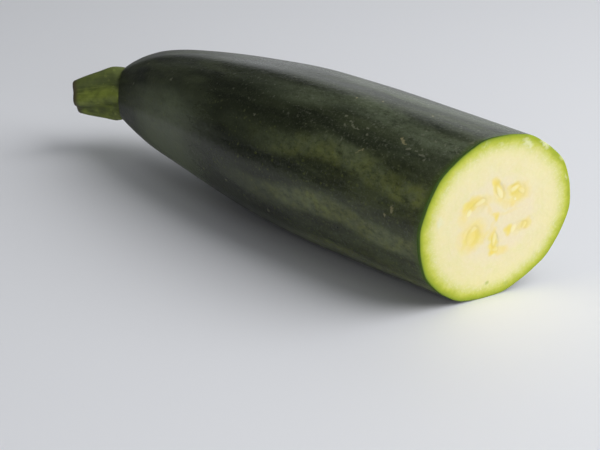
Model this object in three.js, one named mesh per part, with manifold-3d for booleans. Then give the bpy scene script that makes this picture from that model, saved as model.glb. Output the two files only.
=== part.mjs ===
// A courgette lying on its side with one end sliced off: the long piece that keeps its stem.
// Millimetres, +Z up. The fruit lies along X, with the stem at -X and the slanting cut at +X.
// The model rests on z = 0 with its bounding box centred on the origin in X and Y.

import * as THREE from 'three';
import { mergeVertices } from 'three/addons/utils/BufferGeometryUtils.js';
import Module from 'manifold-3d';

// Fruit: distance from the middle of the cut, and the mean radius there
const GIRTH = [
  [0, 23.0],
  [24, 23.6],
  [49, 24.1],
  [73, 23.5],
  [97, 21.2],
  [121, 18.05],
  [134, 15.55],
  [142, 12.9],
  [147.5, 10.35],
  [151, 8.3],
];
const BODY_RINGS = 26;
const SIDES = 80;

// Section: a slightly oval, lopsided round with ten soft ribs
const OVAL = 0.012;
const LOPSIDED = 0.013;
const RIBS = 10;
const FIRST_RIB = THREE.MathUtils.degToRad(14); // from the top, towards -Y
const RIB_AT_CUT = 0.006; // rib height as a share of the radius
const RIB_AT_STEM = 0.011;
const RIB_SHARPNESS = 0.3; // how much narrower a rib is than the hollow beside it

// Cut: how far the knife leaned, and how far along the fruit the mesh rings lean with it
const CUT_YAW = THREE.MathUtils.degToRad(13.4); // the face turns towards -Y
const CUT_PITCH = THREE.MathUtils.degToRad(-2.7); // the face looks slightly down
const LEAN_LENGTH = 60;

// Neck: how far the fruit's axis drifts towards the stem, and how its end turns to the side
const NECK_START = 108; // from the cut
const NECK_SWAY = 5; // towards -Y at the end
const NECK_DROP = 1.8; // down at the end
const END_YAW = THREE.MathUtils.degToRad(43); // the end of the fruit turns towards -Y
const END_LEAN = 40; // how far back from the end the mesh rings lean with it

// Flat spot under the belly
const REST_DEPTH = 22.5; // below the fruit's axis

// Seeds on the cut face. Places are across and up from the middle of the face, angles from across.
// Each pocket: across, up, half length, half width, angle in degrees
const POCKETS = [
  [0.3, 7.9, 3.7, 1.7, 118],
  [6.3, 6.2, 3.1, 2.8, 150],
  [7.6, -4.0, 3.7, 1.9, 8],
  [0.5, -6.9, 3.7, 1.6, 98],
  [-6.9, -3.4, 3.3, 2.8, 70],
  [-6.3, 4.4, 4.0, 2.3, 32],
];
const POCKET_DEPTH = 0.7;
// Each seed: across, up, half length, half width, angle of its blunt end in degrees
const SEEDS = [
  [0.7, 7.1, 2.6, 1.1, -62],
  [5.3, 7.4, 1.7, 1.3, 200],
  [7.6, 6.3, 1.5, 0.9, -30],
  [5.8, 3.7, 1.2, 0.8, 95],
  [6.1, -4.2, 1.5, 1.1, 70],
  [9.7, -3.6, 1.4, 0.9, 60],
  [0.3, -5.7, 2.2, 0.9, 88],
  [1.2, -9.0, 1.7, 0.8, 175],
  [-7.3, -4.2, 2.3, 1.6, 75],
  [-6.6, -1.6, 1.4, 1.0, 40],
  [-8.7, 2.9, 1.6, 1.0, 60],
  [-5.2, 5.6, 2.2, 1.0, 20],
];
const SEED_THICKNESS = 1.1; // half of it, at the seed's middle
const SEED_SINK = 0.75; // how far a seed's middle lies below the cut face
const SEED_TAPER = 0.45; // how much narrower the pointed end is
const SEED_SIDES = 10;
const SEED_RINGS = 6;

// Stem: share of its length from the fruit, and the mean radius there
const STEM_GIRTH = [
  [0, 7.2],
  [0.12, 7.5],
  [0.3, 7.8],
  [0.55, 7.1],
  [0.85, 6],
  [1, 5.2],
];
const STEM_LENGTH = 15.8;
const STEM_GAP = 0.2; // between the stem's foot and the end of the fruit
const STEM_DROOP = 1.2; // how far its end hangs below its root
const STEM_ELBOW = 0.3; // where its bend pulls, as a share of its length
const STEM_RIDGES = 5;
const STEM_RIDGE_AT_FOOT = 0.18; // ridge height as a share of the radius
const STEM_RIDGE_AT_END = 0.13;
const STEM_TWIST = THREE.MathUtils.degToRad(24);
const STEM_FOOT_SPREAD = 0.3; // how much wider than high the foot is, on the oval end of the fruit
const STEM_FOOT_LENGTH = 0.35; // share of its length over which the foot becomes round
const STEM_RINGS = 12;
const STEM_SIDES = 40;

const BODY_LENGTH = GIRTH.at(-1)[0];
const WELD = 1e-4; // vertices closer than this are one
const wasm = await Module();
wasm.setup();

// A smooth outline through [distance, radius] points, closed on the axis at both ends.
// It runs from the far end back, because distance is laid off along -X, which mirrors the solid.
function profile(points, rings) {
  const curve = new THREE.SplineCurve(points.map(([along, radius]) => new THREE.Vector2(radius, along)));
  const outline = curve.getSpacedPoints(rings).reverse();
  return [new THREE.Vector2(0, outline[0].y), ...outline, new THREE.Vector2(0, outline.at(-1).y)];
}

// The round solid of an outline, with shared vertices, its axis along +Y and angle 0 on +Z
function lathe(outline, sides) {
  const geometry = new THREE.LatheGeometry(outline, sides);
  geometry.deleteAttribute('normal');
  geometry.deleteAttribute('uv');
  return mergeVertices(geometry, WELD);
}

// Moves each vertex of a geometry by a rule that changes the vector it is given
function shape(geometry, rule) {
  const positions = geometry.getAttribute('position');
  const vertex = new THREE.Vector3();
  for (let i = 0; i < positions.count; i += 1) {
    rule(vertex.fromBufferAttribute(positions, i));
    positions.setXYZ(i, vertex.x, vertex.y, vertex.z);
  }
  return geometry;
}

function toManifold(geometry) {
  return new wasm.Manifold(
    new wasm.Mesh({
      numProp: 3,
      vertProperties: new Float32Array(geometry.getAttribute('position').array),
      triVerts: new Uint32Array(geometry.getIndex().array),
    }),
  );
}

function toGeometry(manifold) {
  const { vertProperties, triVerts } = manifold.getMesh();
  const geometry = new THREE.BufferGeometry();
  geometry.setAttribute('position', new THREE.BufferAttribute(vertProperties, 3));
  geometry.setIndex(new THREE.BufferAttribute(triVerts, 1));
  geometry.computeVertexNormals();
  return geometry;
}

// How far the section stands from a true circle, at an angle from the top towards -Y
function section(angle, share) {
  const rib = RIBS * (angle - FIRST_RIB);
  const height = THREE.MathUtils.lerp(RIB_AT_CUT, RIB_AT_STEM, share);
  const ribs = height * (Math.cos(rib) + RIB_SHARPNESS * Math.cos(2 * rib));
  return 1 - OVAL * Math.cos(2 * angle) + LOPSIDED * Math.sin(3 * angle) + ribs;
}

// The cut plane's frame: across (towards +Y), up, and out of the fruit
const cutNormal = new THREE.Vector3(
  Math.cos(CUT_YAW) * Math.cos(CUT_PITCH),
  -Math.sin(CUT_YAW) * Math.cos(CUT_PITCH),
  Math.sin(CUT_PITCH),
);
const cutAcross = new THREE.Vector3(Math.sin(CUT_YAW), Math.cos(CUT_YAW), 0);
const cutUp = new THREE.Vector3().crossVectors(cutNormal, cutAcross);

// Which way the end of the fruit looks, and the stem with it
const endNormal = new THREE.Vector3(-Math.cos(END_YAW), -Math.sin(END_YAW), 0);

// The ribbed body with its slanting cut, flat spot and turned neck
function fruitBody() {
  const body = lathe(profile(GIRTH, BODY_RINGS), SIDES);
  return shape(body, (vertex) => {
    const angle = Math.atan2(vertex.x, vertex.z);
    const along = vertex.y;
    const swell = section(angle, along / BODY_LENGTH);
    const y = -vertex.x * swell;
    const z = Math.max(vertex.z * swell, -REST_DEPTH);
    const lean = 1 - THREE.MathUtils.smoothstep(along, 0, LEAN_LENGTH);
    const slant = -lean * (cutNormal.y * y + cutNormal.z * z) / cutNormal.x;
    const turn = THREE.MathUtils.smoothstep(along, BODY_LENGTH - END_LEAN, BODY_LENGTH);
    const neck = Math.max(THREE.MathUtils.inverseLerp(NECK_START, BODY_LENGTH, along), 0) ** 2;
    vertex.set(slant - along - turn * Math.tan(END_YAW) * y, y - neck * NECK_SWAY, z - neck * NECK_DROP);
  });
}

// A flattened egg on the cut face, its blunt end at +X before it is turned by angle
function faceEgg([across, up, halfLength, halfWidth, angle], thickness, sink, taper) {
  const egg = new THREE.SphereGeometry(1, SEED_SIDES, SEED_RINGS);
  egg.deleteAttribute('normal');
  egg.deleteAttribute('uv');
  const turn = THREE.MathUtils.degToRad(angle);
  const centre = new THREE.Vector3()
    .addScaledVector(cutAcross, across)
    .addScaledVector(cutUp, up)
    .addScaledVector(cutNormal, -sink);
  const place = new THREE.Matrix4().makeBasis(cutAcross, cutUp, cutNormal).setPosition(centre);
  shape(egg, (vertex) => {
    const width = THREE.MathUtils.mapLinear(vertex.x, 1, -1, halfWidth, halfWidth * (1 - taper));
    vertex.set(vertex.x * halfLength, vertex.y * width, vertex.z * thickness);
  });
  return mergeVertices(egg.rotateZ(turn).applyMatrix4(place), WELD);
}

// The body with seed pockets sunk into its cut face and seeds grown into them
function fruitGeometry() {
  let solid = toManifold(fruitBody());
  for (const pocket of POCKETS) {
    solid = solid.subtract(toManifold(faceEgg(pocket, POCKET_DEPTH, 0, 0)));
  }
  for (const seed of SEEDS) {
    solid = solid.add(toManifold(faceEgg(seed, SEED_THICKNESS, SEED_SINK, SEED_TAPER)));
  }
  return toGeometry(solid);
}

// The ridged stalk on the turned end of the fruit, bent along a curve that sags a little
function stemGeometry() {
  const fruitEnd = new THREE.Vector3(-BODY_LENGTH, -NECK_SWAY, -NECK_DROP);
  const root = fruitEnd.addScaledVector(endNormal, STEM_GAP);
  const elbow = root.clone().addScaledVector(endNormal, STEM_LENGTH * STEM_ELBOW);
  const end = root.clone().addScaledVector(endNormal, STEM_LENGTH).setZ(root.z - STEM_DROOP);
  const spine = new THREE.QuadraticBezierCurve3(root, elbow, end);
  const up = new THREE.Vector3(0, 0, 1);
  const stalk = lathe(profile(STEM_GIRTH, STEM_RINGS), STEM_SIDES);
  shape(stalk, (vertex) => {
    const angle = Math.atan2(vertex.x, vertex.z);
    const share = vertex.y;
    const height = THREE.MathUtils.lerp(STEM_RIDGE_AT_FOOT, STEM_RIDGE_AT_END, share);
    const ridge = 1 + height * Math.cos(STEM_RIDGES * (angle - STEM_TWIST * share));
    const tangent = spine.getTangent(share);
    const side = new THREE.Vector3().crossVectors(tangent, up).normalize();
    const top = new THREE.Vector3().crossVectors(side, tangent);
    const spread = 1 + STEM_FOOT_SPREAD * (1 - THREE.MathUtils.smoothstep(share, 0, STEM_FOOT_LENGTH));
    const { x, z } = vertex;
    vertex.copy(spine.getPoint(share)).addScaledVector(side, -x * ridge * spread).addScaledVector(top, z * ridge);
  });
  stalk.computeVertexNormals();
  return stalk;
}

const fruit = new THREE.Mesh(
  fruitGeometry(),
  new THREE.MeshStandardMaterial({ color: 0x2b3320, roughness: 0.42, metalness: 0 }),
);
fruit.name = 'fruit';

const stem = new THREE.Mesh(
  stemGeometry(),
  new THREE.MeshStandardMaterial({ color: 0x505a2c, roughness: 0.65, metalness: 0 }),
);
stem.name = 'stem';

const courgette = new THREE.Group();
courgette.add(fruit, stem);

// Stand the model on z = 0, centred in X and Y
const box = new THREE.Box3().setFromObject(courgette, true);
const centre = box.getCenter(new THREE.Vector3());
courgette.position.set(-centre.x, -centre.y, -box.min.z);

export default courgette;
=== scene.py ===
# %% [markdown]
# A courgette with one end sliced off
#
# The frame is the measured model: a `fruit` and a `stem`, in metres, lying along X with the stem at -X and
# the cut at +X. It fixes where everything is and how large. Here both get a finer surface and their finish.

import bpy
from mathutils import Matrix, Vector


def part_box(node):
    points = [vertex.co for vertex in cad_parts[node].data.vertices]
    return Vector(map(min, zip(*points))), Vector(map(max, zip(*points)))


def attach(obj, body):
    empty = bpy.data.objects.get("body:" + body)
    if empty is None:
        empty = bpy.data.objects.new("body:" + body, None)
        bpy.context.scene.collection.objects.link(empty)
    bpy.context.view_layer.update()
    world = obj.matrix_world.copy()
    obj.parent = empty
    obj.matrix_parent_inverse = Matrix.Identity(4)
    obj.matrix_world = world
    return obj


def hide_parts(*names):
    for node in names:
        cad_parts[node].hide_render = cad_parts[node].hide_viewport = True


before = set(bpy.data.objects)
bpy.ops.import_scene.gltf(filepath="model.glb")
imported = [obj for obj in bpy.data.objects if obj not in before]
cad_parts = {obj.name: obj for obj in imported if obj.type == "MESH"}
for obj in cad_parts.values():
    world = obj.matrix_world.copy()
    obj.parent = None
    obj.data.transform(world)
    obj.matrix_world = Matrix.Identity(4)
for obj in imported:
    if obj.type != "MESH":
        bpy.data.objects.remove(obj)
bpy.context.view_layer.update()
print("frame of", len(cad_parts), "nodes")

# %% [markdown]
# ## Tools
#
# Little is needed beyond Blender itself: `bmesh` to shape meshes, `mathutils` for vectors, matrices, curves and
# noise. The modelling is done in millimetres, which are easy to read for a vegetable, and one factor turns them
# into the metres of the frame.

# %% Tools that the lesson uses
import math

import bmesh
import bpy
from mathutils import Matrix, Vector, geometry, noise

MM = 0.001
scene = bpy.context.scene
print("Blender", bpy.app.version_string)

# %% [markdown]
# ## Camera
#
# The picture was taken from a little above, looking along the fruit from its cut end. Three angles and a
# distance say that better than a typed-in matrix does: the camera stands at an azimuth and an elevation round
# the point that sits in the middle of the picture. A long lens keeps the far end from shrinking too much.

# %% Place the camera
CAMERA_AZIMUTH = math.radians(47.1)
CAMERA_ELEVATION = math.radians(23.9)
CAMERA_DISTANCE = 0.36
PICTURE_MIDDLE = Vector((0.0258, -0.0169, 0.0081))
LENS = 78.1

camera_back = Vector((
    math.sin(CAMERA_AZIMUTH) * math.cos(CAMERA_ELEVATION),
    -math.cos(CAMERA_AZIMUTH) * math.cos(CAMERA_ELEVATION),
    math.sin(CAMERA_ELEVATION),
))
camera = bpy.data.objects.new("camera", bpy.data.cameras.new("camera"))
scene.collection.objects.link(camera)
camera.data.lens = LENS
camera.location = PICTURE_MIDDLE + camera_back * CAMERA_DISTANCE
camera.rotation_euler = camera_back.to_track_quat("Z", "Y").to_euler()
scene.camera = camera
print("camera at", tuple(round(x, 3) for x in camera.location))

# %% [markdown]
# ## Helpers for node trees
#
# A material is a small tree of nodes. Typing each link by hand hides the idea, so one helper makes a node, sets
# its options and fills its inputs: a value goes into the socket, and another node's output is linked to it. The
# others are built on it. A mask is a number from 0 to 1 that says how much of something shows at a place.

# %% Node helpers
def add(tree, kind, inputs=None, **options):
    made = tree.nodes.new(kind)
    for name, value in options.items():
        setattr(made, name, value)
    for name, value in (inputs or {}).items():
        if isinstance(value, bpy.types.NodeSocket):
            tree.links.new(value, made.inputs[name])
        else:
            made.inputs[name].default_value = value
    return made


def attribute(tree, name):
    return add(tree, "ShaderNodeAttribute", attribute_name=name).outputs


def object_place(tree):
    return add(tree, "ShaderNodeTexCoord").outputs["Object"]


def math_node(tree, operation, first, second=0.0, clamp=False):
    made = add(tree, "ShaderNodeMath", {0: first, 1: second}, operation=operation, use_clamp=clamp)
    return made.outputs["Value"]


def vector_math(tree, operation, inputs):
    return add(tree, "ShaderNodeVectorMath", inputs, operation=operation).outputs


def scaled(tree, value, factor, offset=0.0):
    made = add(tree, "ShaderNodeMath", {0: value, 1: factor, 2: offset}, operation="MULTIPLY_ADD")
    return made.outputs["Value"]


def product(tree, first, *others):
    """Several masks multiplied, so that the result shows only where all of them do."""
    for other in others:
        first = math_node(tree, "MULTIPLY", first, other)
    return first


def fade(tree, value, start, end):
    """0 where value is at start, 1 where it is at end, with a soft step between."""
    made = add(
        tree,
        "ShaderNodeMapRange",
        {"Value": value, "From Min": start, "From Max": end},
        interpolation_type="SMOOTHSTEP",
    )
    return made.outputs["Result"]


# %% [markdown]
# Colours are laid over one another like paint: each coat has a mask, a pigment and a strength. At the end the
# finished colour, the roughness and the bump go to the shader, in the same way for every material.

# %% Paint helpers
def blend(tree, share, first, second):
    """A colour between two others. Plain colours are given as three numbers."""
    made = tree.nodes.new("ShaderNodeMix")
    made.data_type = "RGBA"
    sockets = {s.identifier: s for s in made.inputs}
    for name, value in (("Factor_Float", share), ("A_Color", first), ("B_Color", second)):
        if isinstance(value, bpy.types.NodeSocket):
            tree.links.new(value, sockets[name])
        else:
            sockets[name].default_value = value if name == "Factor_Float" else (*value, 1.0)
    return next(s for s in made.outputs if s.identifier == "Result_Color")


def painted(tree, colour, mask, pigment, strength=1.0):
    """A colour with a coat of another over it, where the mask shows and as strongly as given."""
    return blend(tree, scaled(tree, mask, strength), colour, pigment)


def noise_value(tree, vector, scale, detail=3.0, roughness=0.55):
    inputs = {"Vector": vector, "Scale": scale, "Detail": detail, "Roughness": roughness}
    return add(tree, "ShaderNodeTexNoise", inputs).outputs["Fac"]


def stretched(tree, vector, scale):
    """The same coordinates, squeezed or drawn out along each axis."""
    return add(tree, "ShaderNodeMapping", {"Vector": vector, "Scale": scale}).outputs["Vector"]


def new_material(name):
    made = bpy.data.materials.new(name)
    made.use_nodes = True
    return made, made.node_tree, made.node_tree.nodes["Principled BSDF"]


def dress(tree, shader, colour, roughness):
    tree.links.new(colour, shader.inputs["Base Color"])
    tree.links.new(roughness, shader.inputs["Roughness"])


def emboss(tree, shader, height, strength, depth):
    bump = add(tree, "ShaderNodeBump", {"Strength": strength, "Distance": depth, "Height": height})
    tree.links.new(bump.outputs["Normal"], shader.inputs["Normal"])


print("node helpers ready")

# %% [markdown]
# ## The fruit's outline
#
# A courgette is nearly a solid of revolution: a smooth outline turned round a straight axis. The outline is a
# curve through a few measured radii, from the cut to the stem's root. Blender's `interpolate_bezier` draws each
# stretch, with handles that point from one neighbour to the other, so that the curve runs smoothly through every
# point. Sizes here are millimetres from the middle of the cut. They become metres when the piece is put in place.

# %% Draw the outline
GIRTH = [
    (0, 23.0),
    (24, 23.6),
    (49, 24.1),
    (73, 23.5),
    (97, 21.2),
    (121, 18.05),
    (134, 15.55),
    (142, 12.9),
    (147.5, 10.35),
    (151, 8.3),
]
BODY_LENGTH = GIRTH[-1][0]
STRETCH_STEPS = 17
HANDLE_PART = 6


def smooth_curve(points, steps):
    """Points on a smooth curve through the given (along, radius) points."""
    points = [Vector(p) for p in points]
    last = len(points) - 1
    drawn = [points[0]]
    for i in range(last):
        before, start, end, after = (points[min(max(i + k, 0), last)] for k in (-1, 0, 1, 2))
        handles = start + (end - before) / HANDLE_PART, end - (after - start) / HANDLE_PART
        drawn += geometry.interpolate_bezier(start, *handles, end, steps)[1:]
    return drawn


body_outline = smooth_curve(GIRTH, STRETCH_STEPS)
widest = max(p.y for p in body_outline)
print("outline of", len(body_outline), "points, widest radius", round(widest, 2), "mm")

# %% [markdown]
# ## Turning the outline into a body
#
# `bmesh.ops.spin` turns a chain of edges round an axis and leaves a skin of quads. The chain starts on the axis
# at the stem's root, follows the outline, turns over the edge of the cut and runs in to the middle of the face,
# so the skin and the cut face are one closed mesh with no seam between them. The rings on the face are close
# together, because the seed pockets are modelled there. Many small steps are slow, so one wedge is spun out first
# and the same operator then copies it round the axis. Welding closes the joints and the two ends on the axis.

# %% Spin the body
AROUND = 360
SECTORS = 10
WELD = 1e-4
FACE_RINGS = 92
EDGE_ROUND = 0.12
CUT_RADIUS = GIRTH[0][1]


def spin_chain(points, steps):
    """A closed mesh from (x, radius) points turned once round the X axis. Both ends are on that axis."""
    made = bmesh.new()
    chain = [made.verts.new((x, 0, radius)) for x, radius in points]
    edges = [made.edges.new(pair) for pair in zip(chain, chain[1:])]
    axis = {"cent": (0, 0, 0), "axis": (1, 0, 0), "dvec": (0, 0, 0)}
    sector = math.tau / SECTORS
    bmesh.ops.spin(made, geom=chain + edges, angle=sector, steps=steps // SECTORS, **axis)
    wedge = made.verts[:] + made.edges[:] + made.faces[:]
    rest = math.tau - sector
    bmesh.ops.spin(made, geom=wedge, angle=rest, steps=SECTORS - 1, use_duplicate=True, **axis)
    bmesh.ops.remove_doubles(made, verts=made.verts, dist=WELD)
    bmesh.ops.recalc_face_normals(made, faces=made.faces)
    open_edges = [e for e in made.edges if len(e.link_faces) != 2]
    print("spun", len(made.faces), "faces with", len(open_edges), "open edges")
    return made


face_radius = CUT_RADIUS - EDGE_ROUND
body_chain = [(-BODY_LENGTH, 0)]
body_chain += [(-along, radius) for along, radius in reversed(body_outline[1:])]
body_chain += [(-EDGE_ROUND, CUT_RADIUS)]
body_chain += [(0, face_radius * (1 - k / FACE_RINGS)) for k in range(FACE_RINGS + 1)]
fruit_mesh = spin_chain(body_chain, AROUND)

# %% [markdown]
# ## Ribs, slanting cut and resting spot
#
# A real courgette is slightly oval and lopsided, with ten soft ribs that are strongest near the stem. The knife
# leaned a little, so the cut is turned and tilted, and the rings behind it lean less and less. At the other end
# the neck drifts to one side and turns, because the fruit hung from a bent stalk. Underneath, the skin is pressed
# flat where it rests. One rule gives the new place of each vertex, the same rule that shaped the frame, and a
# little slow noise takes off the look of a turned part. Angles run from the top towards -Y, the side that shows.

# %% The section across the fruit
OVAL = 0.012
LOPSIDED = 0.013
RIBS = 10
FIRST_RIB = math.radians(14)
RIB_AT_CUT = 0.006
RIB_AT_STEM = 0.011
RIB_SHARPNESS = 0.3


def soft_step(share):
    share = min(max(share, 0.0), 1.0)
    return share * share * (3 - 2 * share)


def rib_wave(angle):
    """1 or more on a rib's crest, below 0 in the hollow between two ribs."""
    turn = RIBS * (angle - FIRST_RIB)
    return math.cos(turn) + RIB_SHARPNESS * math.cos(2 * turn)


def section(angle, share):
    """The radius at an angle, against that of a plain circle, at a share of the body's length."""
    height = RIB_AT_CUT + (RIB_AT_STEM - RIB_AT_CUT) * share
    return 1 - OVAL * math.cos(2 * angle) + LOPSIDED * math.sin(3 * angle) + height * rib_wave(angle)


print("ribs", RIBS)

# %% The rule for the whole body
CUT_YAW = math.radians(13.4)
CUT_PITCH = math.radians(-2.7)
LEAN_LENGTH = 60
NECK_START = 108
NECK_SWAY = 5
NECK_DROP = 1.8
END_YAW = math.radians(43)
END_LEAN = 40
REST_DEPTH = 22.5
WOBBLE = 0.12
WOBBLE_LENGTH = 22
WOBBLE_AROUND = 2

cut_normal = Vector((
    math.cos(CUT_YAW) * math.cos(CUT_PITCH),
    -math.sin(CUT_YAW) * math.cos(CUT_PITCH),
    math.sin(CUT_PITCH),
))
cut_across = Vector((math.sin(CUT_YAW), math.cos(CUT_YAW), 0))
cut_up = cut_normal.cross(cut_across)


def body_place(co):
    """Where a vertex of the plain turned body belongs, and its place along, round and out from the axis."""
    along = -co.x
    radius = math.hypot(co.y, co.z)
    angle = math.atan2(-co.y, co.z)
    ring = WOBBLE_AROUND * math.cos(angle), WOBBLE_AROUND * math.sin(angle)
    grain = Vector((along / WOBBLE_LENGTH, *ring))
    swell = section(angle, along / BODY_LENGTH) + WOBBLE / CUT_RADIUS * noise.noise(grain)
    y = co.y * swell
    z = max(co.z * swell, -REST_DEPTH)
    lean = 1 - soft_step(along / LEAN_LENGTH)
    slant = -lean * (cut_normal.y * y + cut_normal.z * z) / cut_normal.x
    turn = soft_step(1 - (BODY_LENGTH - along) / END_LEAN)
    neck = max((along - NECK_START) / (BODY_LENGTH - NECK_START), 0) ** 2
    x = slant - along - turn * math.tan(END_YAW) * y
    return Vector((x, y - neck * NECK_SWAY, z - neck * NECK_DROP)), along, angle, radius


print("cut faces", tuple(round(x, 3) for x in cut_normal))

# %% [markdown]
# ## What the materials need to know
#
# Skin and flesh change from place to place: along the fruit, round it, and inwards from the skin. Each vertex
# keeps these measures in layers, which the materials read as attributes. They are taken before the body is bent,
# so the stripes follow its bends. The green below the skin is not equally wide all round, so the depth that the
# flesh's colours go by slides a little from side to side.

# %% How deep the green reaches
BAND_SLIDE = 0.40
BAND_PINCH = 0.14
BAND_SIDE = math.radians(77)
THREAD_WIDTH = 0.5
THREAD_SIDE = math.radians(68)
THREAD_REACH = 1.6
THREAD_FOCUS = 4


def rim_depth(gap, angle):
    """The distance from the skin that the flesh's colours go by, in place of the true distance."""
    turn = angle - BAND_SIDE
    slide = BAND_SLIDE * math.cos(turn) + BAND_PINCH * math.cos(2 * turn)
    thread = THREAD_WIDTH * max(math.cos(angle - THREAD_SIDE), 0) ** THREAD_FOCUS
    return gap - slide - thread * (1 - soft_step(gap / THREAD_REACH))


print("green is shifted by up to", round(BAND_SLIDE + BAND_PINCH, 2), "mm")

# %% Store where each vertex is, and shape the body
FIRST_STRIPE = math.radians(25)
STRIPE_WAVE = math.radians(4)
STRIPE_WAVE_LENGTH = 60
STRIPE_WAVE_TOP = 36
CUT_PLANE = -EDGE_ROUND * 1.01

# All layers are made before any vertex is kept in a list, because adding one can make such a list stale.
layers = fruit_mesh.verts.layers
along_layer = layers.float.new("along")
around_layer = layers.float.new("around")
side_layer = layers.float.new("side")
stripe_layer = layers.float.new("stripe")
rim_layer = layers.float.new("rim")
face_layer = layers.float_vector.new("face")
pulp_layer = layers.float.new("pulp")
torn_and_glint_layer = layers.float.new("torn_and_glint")
vein_layer = layers.float.new("vein")

for face in fruit_mesh.faces:
    face.smooth = True
    face.material_index = int(all(v.co.x > CUT_PLANE for v in face.verts))
for edge in fruit_mesh.edges:
    edge.smooth = len({face.material_index for face in edge.link_faces}) == 1
cut_verts = [v for v in fruit_mesh.verts if v.co.x > CUT_PLANE]
for vert in fruit_mesh.verts:
    vert.co, along, angle, radius = body_place(vert.co)
    vert[along_layer] = along
    vert[around_layer] = abs(math.degrees(angle))
    vert[side_layer] = math.sin(angle)
    wave = STRIPE_WAVE * math.cos(math.tau * (along - STRIPE_WAVE_TOP) / STRIPE_WAVE_LENGTH)
    vert[stripe_layer] = math.cos(RIBS * (angle + math.copysign(1, angle) * wave - FIRST_STRIPE))
    vert[rim_layer] = rim_depth(CUT_RADIUS - radius, angle)
    vert[face_layer] = (vert.co.dot(cut_across), vert.co.dot(cut_up), 0)
print("cut face of", len(cut_verts), "vertices")

# %% [markdown]
# ## Seed pockets
#
# Inside, three chambers hold two rows of seeds each. The knife opens them as six shallow hollows of soft pulp
# round a pale centre. The pulp is yellow in and near the hollows, but unevenly, in soft stains that run into one
# another. Hollows and stains are ellipses on the face: place across and up, two half lengths and an angle, and
# for a stain its strength. One function adds them up to how yellow a place is. The face and the seeds both use
# it, so the seeds take on the colour of what they lie in. Noise moves each place first, so no ellipse shows.

# %% How yellow the pulp is
POCKETS = [
    (0.3, 7.9, 3.7, 1.7, 118),
    (6.3, 6.2, 3.1, 2.8, 150),
    (7.6, -4.0, 3.7, 1.9, 8),
    (0.5, -6.9, 3.7, 1.6, 98),
    (-6.9, -3.4, 3.3, 2.8, 70),
    (-6.3, 4.4, 4.0, 2.3, 32),
]
STAINS = [
    (-0.5, 9.2, 1.9, 1.1, 120, 0.9),
    (0.9, 6.8, 2.6, 1.5, 118, 0.45),
    (5.1, 7.3, 1.6, 1.4, 0, 1.0),
    (7.9, 6.0, 2.4, 1.8, 150, 0.5),
    (6.1, 4.6, 1.9, 1.5, 60, 0.45),
    (3.9, 3.7, 1.5, 1.1, 0, 0.4),
    (4.9, -4.1, 1.2, 1.2, 0, 0.95),
    (8.8, -4.1, 1.5, 1.0, 10, 0.35),
    (10.1, -3.3, 1.1, 1.5, 0, 0.7),
    (0.0, -6.0, 2.7, 1.1, 92, 0.95),
    (-0.1, -9.2, 1.1, 1.1, 0, 0.95),
    (2.9, -9.5, 2.0, 1.1, 0, 0.55),
    (-6.9, -3.3, 3.7, 3.0, 60, 0.65),
    (-6.9, -3.8, 1.9, 1.6, 20, 0.65),
    (-3.0, -4.5, 2.0, 1.2, 0, 0.3),
    (-7.8, 5.5, 2.4, 1.4, 30, 0.9),
    (-3.6, 5.6, 2.2, 1.2, 0, 0.35),
    (-10.1, 2.9, 1.1, 2.2, 0, 0.4),
    (0.2, 0.5, 0.8, 0.8, 0, 0.8),
    (-1.7, 2.6, 3.0, 0.5, 128, 0.25),
    (3.4, 1.0, 3.2, 0.5, 8, 0.25),
    (-1.2, -2.2, 3.2, 0.5, 58, 0.25),
]
PULP_SPREAD = 1.3
PULP_IN_POCKET = 0.25
STAIN_SPREAD = 1.6
STAIN_WANDER = 0.7
STAIN_GRAIN = 1.6
NOISE_SEED = 5

# Without a seed, noise_vector starts from the clock and the patches move with every run.
noise.seed_set(NOISE_SEED)


def in_ellipse(u, v, ellipse, spread=1.0):
    """1 in the middle of an ellipse on the face, 0 at its edge and beyond."""
    across, up, half_length, half_width, degrees = ellipse
    turn = math.radians(degrees)
    du = u - across
    dv = v - up
    lengthwise = (du * math.cos(turn) + dv * math.sin(turn)) / (half_length * spread)
    crosswise = (dv * math.cos(turn) - du * math.sin(turn)) / (half_width * spread)
    return max(0.0, 1 - lengthwise**2 - crosswise**2)


def strongest(u, v, marks):
    """The most that any of several ellipses, each with its strength, shows at a place."""
    return max(in_ellipse(u, v, shape) * strength for *shape, strength in marks)


def pulp_at(u, v):
    """How yellow the flesh is at a place on the face. Where stains overlap they add up, but not above 1."""
    wander = noise.noise_vector(Vector((u, v, 0)) / STAIN_GRAIN) * STAIN_WANDER
    u, v = u + wander.x, v + wander.y
    stains = (strength * in_ellipse(u, v, shape, STAIN_SPREAD) for *shape, strength in STAINS)
    plain = math.prod(1 - stain for stain in stains)
    pocket = max(in_ellipse(u, v, pocket, PULP_SPREAD) for pocket in POCKETS)
    return 1 - plain * (1 - pocket * PULP_IN_POCKET)


print("pockets", len(POCKETS), "and stains", len(STAINS))
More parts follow.
